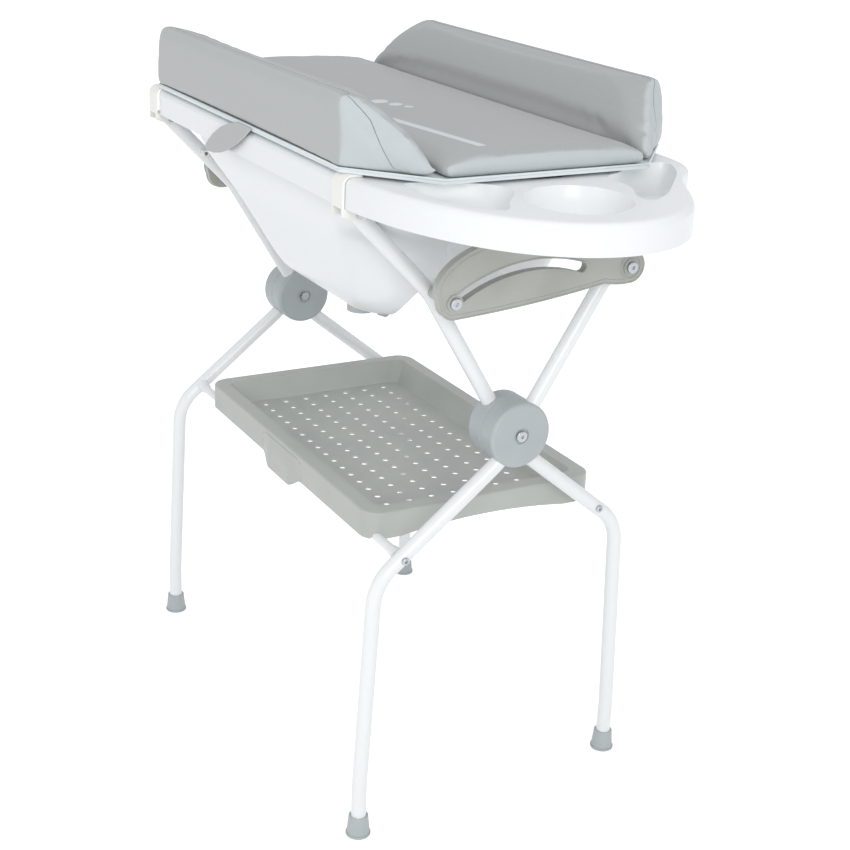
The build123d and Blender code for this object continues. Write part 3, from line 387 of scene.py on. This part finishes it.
# Tub: white polypropylene sheet with high gloss, moulded in one piece with rim and compartments.
# It is thick enough to be opaque and thin enough to glow a little.
tub_polypropylene = empty_tree(bpy.data.materials.new("moulded polypropylene, glossy white"))
spot = add_node(tub_polypropylene, "ShaderNodeTexCoord", {})
sink_mm = 90.0
sink_marks = add_node(tub_polypropylene, "ShaderNodeTexNoise",
                      {"Vector": spot.outputs["Object"], "Scale": 1000 / sink_mm, "Detail": 1.0})
sink_bump = add_node(tub_polypropylene, "ShaderNodeBump",
                     {"Height": sink_marks.outputs["Fac"], "Strength": 0.01, "Distance": 0.0002})
tub_gloss = add_node(tub_polypropylene, "ShaderNodeMapRange",
                     {"Value": sink_marks.outputs["Fac"], "To Min": 0.27, "To Max": 0.29})
surface(tub_polypropylene, linear("#ECEEEF"), tub_gloss.outputs[0], sink_bump.outputs[0],
        Subsurface_Weight=0.08, Subsurface_Scale=0.004)
coat_nodes(tub_polypropylene, ["tub_shell"], sharp_degrees=40.0)

# Changing mat: foam pad and two side bolsters in wipe-clean covers of coated polyester,
# cut from flat panels, sewn inside out and turned, so seams pull the foam in.


def coated_polyester(name, stripe, dots):
    """The cover's fabric: faces turned outwards and faces turned endways are painted paler as painted light; a stripe
    and dots in metres are printed on top.
    """
    fabric = empty_tree(bpy.data.materials.new(name))
    spot = add_node(fabric, "ShaderNodeTexCoord", {})
    thread_mm = 1.3  # the real threads lie about 0.3 mm apart; drawn coarser to show at this size
    weave = add_node(fabric, "ShaderNodeTexWave",
                     {"Vector": spot.outputs["Object"], "Scale": 1000 / thread_mm / 6.28, "Distortion": 1.5,
                      "Detail": 2.0, "Detail Scale": 3.0}, wave_type="BANDS", bands_direction="DIAGONAL")
    fuzz = add_node(fabric, "ShaderNodeTexNoise",
                    {"Vector": spot.outputs["Object"], "Scale": 1000 / (2 * thread_mm), "Detail": 3.0,
                     "Roughness": 0.7})
    threads = add_node(fabric, "ShaderNodeMath", {0: weave.outputs["Fac"], 1: fuzz.outputs["Fac"]}, operation="ADD")
    fine = add_node(fabric, "ShaderNodeBump", {"Height": threads.outputs[0], "Strength": 0.05, "Distance": 0.0002})
    crinkle_mm = 90.0
    crinkle = add_node(fabric, "ShaderNodeTexNoise",
                       {"Vector": spot.outputs["Object"], "Scale": 1000 / crinkle_mm, "Detail": 4.0,
                        "Roughness": 0.55})
    creased = add_node(fabric, "ShaderNodeBump", {"Height": crinkle.outputs["Fac"], "Strength": 0.22,
                                                  "Distance": 0.004, "Normal": fine.outputs[0]})
    shade = add_node(fabric, "ShaderNodeValToRGB", {"Fac": threads.outputs[0]})
    shade.color_ramp.elements[0].color = linear("#A3A5A4")
    shade.color_ramp.elements[0].position = 0.45
    shade.color_ramp.elements[1].color = linear("#ABADAC")
    shade.color_ramp.elements[1].position = 0.6
    place = add_node(fabric, "ShaderNodeSeparateXYZ", {"Vector": spot.outputs["Object"]})
    facing = add_node(fabric, "ShaderNodeSeparateXYZ", {"Vector": spot.outputs["Normal"]})
    endways = add_node(fabric, "ShaderNodeMath", {0: facing.outputs["X"]}, operation="ABSOLUTE")
    outwards = add_node(fabric, "ShaderNodeMath", {0: facing.outputs["Y"], 1: place.outputs["Y"]},
                        operation="MULTIPLY")
    # Painted light: faces turned outwards, away from the mat's middle, are painted a paler grey, #B5B7B6, for the
    # sheen of the side light.
    outward_painted_light = add_node(fabric, "ShaderNodeMapRange",
                           {"Value": outwards.outputs[0], "From Min": 0.08, "From Max": 0.13})
    # Painted light: faces turned towards either end are painted a paler, cooler grey, #BFC5C7, for the light from the
    # front.
    endways_painted_light = add_node(fabric, "ShaderNodeMapRange",
                         {"Value": endways.outputs[0], "From Min": 0.35, "From Max": 0.55})
    with_painted_side_light = add_node(fabric, "ShaderNodeMixRGB", {"Fac": outward_painted_light.outputs[0], "Color1": shade.outputs[0],
                                                  "Color2": linear("#B5B7B6")})
    with_painted_end_light = add_node(fabric, "ShaderNodeMixRGB", {"Fac": endways_painted_light.outputs[0], "Color1": with_painted_side_light.outputs[0],
                                                    "Color2": linear("#BFC5C7")})
    colour = with_painted_end_light.outputs[0]
    if dots:
        (start_x, start_y), (stop_x, stop_y), half = stripe
        lean = (stop_y - start_y) / (stop_x - start_x)
        drift = add_node(fabric, "ShaderNodeMath", {0: place.outputs["X"], 1: lean}, operation="MULTIPLY")
        across = add_node(fabric, "ShaderNodeMath", {0: place.outputs["Y"], 1: drift.outputs[0]},
                          operation="SUBTRACT")
        ink = []
        for value, middle, reach in ((across, start_y - lean * start_x, half),
                                     (place, (start_x + stop_x) / 2, (stop_x - start_x) / 2)):
            output = value.outputs["X"] if value is place else value.outputs[0]
            ink.append(add_node(fabric, "ShaderNodeMath", {0: output, 1: middle, 2: reach}, operation="COMPARE"))
        printed = add_node(fabric, "ShaderNodeMath", {0: ink[0].outputs[0], 1: ink[1].outputs[0]},
                           operation="MULTIPLY")
        for x, y, radius in dots:
            flat = add_node(fabric, "ShaderNodeCombineXYZ", {"X": place.outputs["X"], "Y": place.outputs["Y"]})
            away = add_node(fabric, "ShaderNodeVectorMath", {0: flat.outputs[0], 1: (x, y, 0.0)},
                            operation="DISTANCE")
            inside = add_node(fabric, "ShaderNodeMath", {0: away.outputs["Value"], 1: radius},
                              operation="LESS_THAN")
            printed = add_node(fabric, "ShaderNodeMath", {0: printed.outputs[0], 1: inside.outputs[0]},
                               operation="MAXIMUM")
        film = add_node(fabric, "ShaderNodeMixRGB", {"Fac": printed.outputs[0], "Color1": colour,
                                                     "Color2": linear("#D2D7D9")})
        colour = film.outputs[0]
    surface(fabric, colour, 0.5, creased.outputs[0], Sheen_Weight=0.12, Sheen_Roughness=0.4)
    return fabric


mat_cover = coated_polyester("coated polyester, grey", None, ())
stripe = ((0.014, -0.092), (0.240, -0.066), 0.0055)
dots = ((-0.050, -0.050, 0.012), (-0.022, -0.040, 0.009), (-0.001, -0.032, 0.006))
pad_cover = coated_polyester("coated polyester, grey, printed", stripe, dots)


voxel = 0.0048
foam_inset = 0.0025
swell_reach = 0.022
stitch_reach = 0.006
pucker_reach = 0.009
settle_frames = 20


def cover(name, node, fabric, cap, floor_z, low_y, high_y, seams):
    """A padded cover that starts as the foam, swells between its seams and is held to its place."""
    piece = bpy.data.objects.new(name, nodes[node].data.copy())
    scene.collection.objects.link(piece)
    bpy.context.view_layer.objects.active = piece
    piece.select_set(True)
    remesh = piece.modifiers.new("remesh", "REMESH")
    remesh.mode = "VOXEL"
    remesh.voxel_size = voxel
    bpy.ops.object.modifier_apply(modifier=remesh.name)
    rounding = piece.modifiers.new("rounding", "SMOOTH")
    rounding.factor = 0.5
    rounding.iterations = 16
    bpy.ops.object.modifier_apply(modifier=rounding.name)
    mesh = piece.data
    stitches = KDTree(sum(len(row) for row in seams))
    for number, place in enumerate(place for row in seams for place in row):
        stitches.insert(place, number)
    stitches.balance()
    for vertex in mesh.vertices:
        near, number, away = stitches.find(vertex.co)
        swell = foam_inset + 0.0040 * (1 - math.exp(-(away / swell_reach) ** 2))
        swell -= 0.0016 * math.exp(-(away / stitch_reach) ** 2)
        pucker = 0.0006 * math.cos(number * 2.1) * math.exp(-(away / pucker_reach) ** 2)
        vertex.co += (swell + pucker) * vertex.normal
    mesh.materials.clear()
    mesh.materials.append(fabric)
    rest = [v.co.copy() for v in mesh.vertices]
    normals = [v.normal.copy() for v in mesh.vertices]
    for vertex, place, normal in zip(mesh.vertices, rest, normals):
        vertex.co = place - foam_inset * normal
    cloth = piece.modifiers.new("cloth", "CLOTH")
    cloth.settings.use_pressure = True
    cloth.settings.uniform_pressure_force = 4.0
    cloth.settings.effector_weights.gravity = 0.0
    cloth.settings.quality = 4
    cloth.point_cache.frame_start = 1
    cloth.point_cache.frame_end = settle_frames
    for step in range(1, settle_frames + 1):
        scene.frame_set(step)
    bpy.ops.object.modifier_apply(modifier=cloth.name)
    scene.frame_set(1)
    for vertex, place, normal in zip(piece.data.vertices, rest, normals):
        moved = vertex.co - place
        if moved.length > cap:
            moved *= cap / moved.length
        spot = place + moved
        spot.z = max(spot.z, floor_z)
        spot.y = min(max(spot.y, low_y), high_y)
        vertex.co = spot
    settle = piece.modifiers.new("settle", "SMOOTH")
    settle.factor = 0.5
    settle.iterations = 3
    smooth = piece.modifiers.new("smooth", "SUBSURF")
    smooth.levels = 1
    smooth.render_levels = 1
    for face in piece.data.polygons:
        face.use_smooth = True
    piece.select_set(False)
    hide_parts(node)
    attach(piece, "mat")
    return piece


def stitch_row(corners):
    """Points 4 mm apart along a broken line."""
    row = []
    for start, stop in zip(corners[:-1], corners[1:]):
        steps = max(2, round((Vector(stop) - Vector(start)).length / 0.004))
        row += [Vector(start).lerp(Vector(stop), step / steps) for step in range(steps)]
    return row + [Vector(corners[-1])]


board_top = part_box("mat_board")[1].z + 0.0003
crease_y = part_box("mat_pad")[1].y + 0.0003
low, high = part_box("mat_pad")
pad_edge = [(low.x, low.y, board_top), (high.x, low.y, board_top), (high.x, high.y, board_top),
            (low.x, high.y, board_top), (low.x, low.y, board_top)]
pad = cover("mat_pad_cover", "mat_pad", pad_cover, 0.003, board_top, -crease_y, crease_y, [stitch_row(pad_edge)])

# Bolsters: wedges of foam in the same cover, closed by a seam along the top strip and down the
# slanted ends; the stitches pull the fabric in, and it puckers where the seam turns at the top.
thread = moulded("polyester sewing thread, dark grey", "#7E8283", "#868A8B", 0.6, 0.8, 0.05)
thread_radius = 0.0006
for side, word in ((-1, "left"), (1, "right")):
    low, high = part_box(f"mat_bolster_{word}")
    ridge_y = side * 0.2135
    top_z = high.z + 0.001
    seam_rows = [
        stitch_row([(-0.396, side * 0.206, top_z), (0.182, side * 0.206, top_z)]),
        stitch_row([(0.182, ridge_y, top_z), (0.213, side * 0.198, 0.938), (0.240, side * 0.181, 0.883)]),
        stitch_row([(-0.396, ridge_y, top_z), (-0.418, side * 0.200, 0.938), (-0.434, side * 0.181, 0.883)]),
    ]
    ledge = (-0.2235, -crease_y + 0.012) if side < 0 else (crease_y - 0.012, 0.2235)
    bolster = cover(f"mat_bolster_cover_{word}", f"mat_bolster_{word}", mat_cover, 0.006, board_top, *ledge,
                    seam_rows)
    tree = BVHTree.FromObject(bolster, bpy.context.evaluated_depsgraph_get())
    laid = []
    for row in seam_rows:
        track = []
        for spot in row:
            place, normal, face, gap = tree.find_nearest(spot)
            track.append(place - thread_radius / 2 * normal)
        laid.append(track)
    stitching = bead(f"mat_seams_{word}", laid, thread_radius, thread, cyclic=False)
    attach(stitching, "mat")

# Piping round the mat: a cord in a strip of the white backing film, sewn in between cover and board.
# Backing film is smooth and cool white.
backing_film = moulded("coated polyester, white", "#DCE3E5", "#E2E8EA", 0.38, 1.6, 0.05)
coat_nodes(backing_film, ["mat_board"])
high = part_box("mat_board")[1]
outline = [(0.284, 0.138), (0.189, 0.222), (-0.401, 0.222), (-0.461, 0.138), (-0.461, -0.138), (-0.401, -0.222),
           (0.189, -0.222), (0.284, -0.138)]
piping_radius = 0.0014
piping = bead("mat_piping", [[Vector((x, y, high.z)) for x, y in outline]], piping_radius, backing_film)
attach(piping, "mat")

# Strap: a doubled flap of the cover's fabric with curved sides, sewn to the mat's edge, that hangs
# over the skirt and is turned to open the mat.
low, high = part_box("mat_strap")
flap_sides = ((-0.0990, 0.8789), (-0.128, 0.8735), (-0.155, 0.8635), (-0.176, 0.8515), (-0.190, 0.8400),
              (-0.1955, 0.8330), (-0.1925, 0.8285), (-0.184, 0.8270), (-0.166, 0.8278), (-0.142, 0.8325),
              (-0.118, 0.8410), (-0.096, 0.8520), (-0.077, 0.8640), (-0.0580, 0.8789))
flap = bmesh.new()
corners = []
for x, z in flap_sides:
    lean = (high.z - z) / (high.z - low.z)
    corners.append(flap.verts.new((x, high.y - 0.0012 - lean * (high.y - low.y - 0.0024), z)))
flap.faces.new(corners)
bmesh.ops.triangulate(flap, faces=flap.faces)
flap_mesh = bpy.data.meshes.new("mat_strap_flap")
flap.to_mesh(flap_mesh)
flap.free()
flap_mesh.materials.append(mat_cover)
strap = bpy.data.objects.new("mat_strap_flap", flap_mesh)
scene.collection.objects.link(strap)
thickness = strap.modifiers.new("thickness", "SOLIDIFY")
thickness.thickness = 0.0018  # two layers of fabric
thickness.offset = 0.0
rounded = strap.modifiers.new("rounded", "BEVEL")
rounded.width = 0.0006
rounded.segments = 2
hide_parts("mat_strap")
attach(strap, "mat")
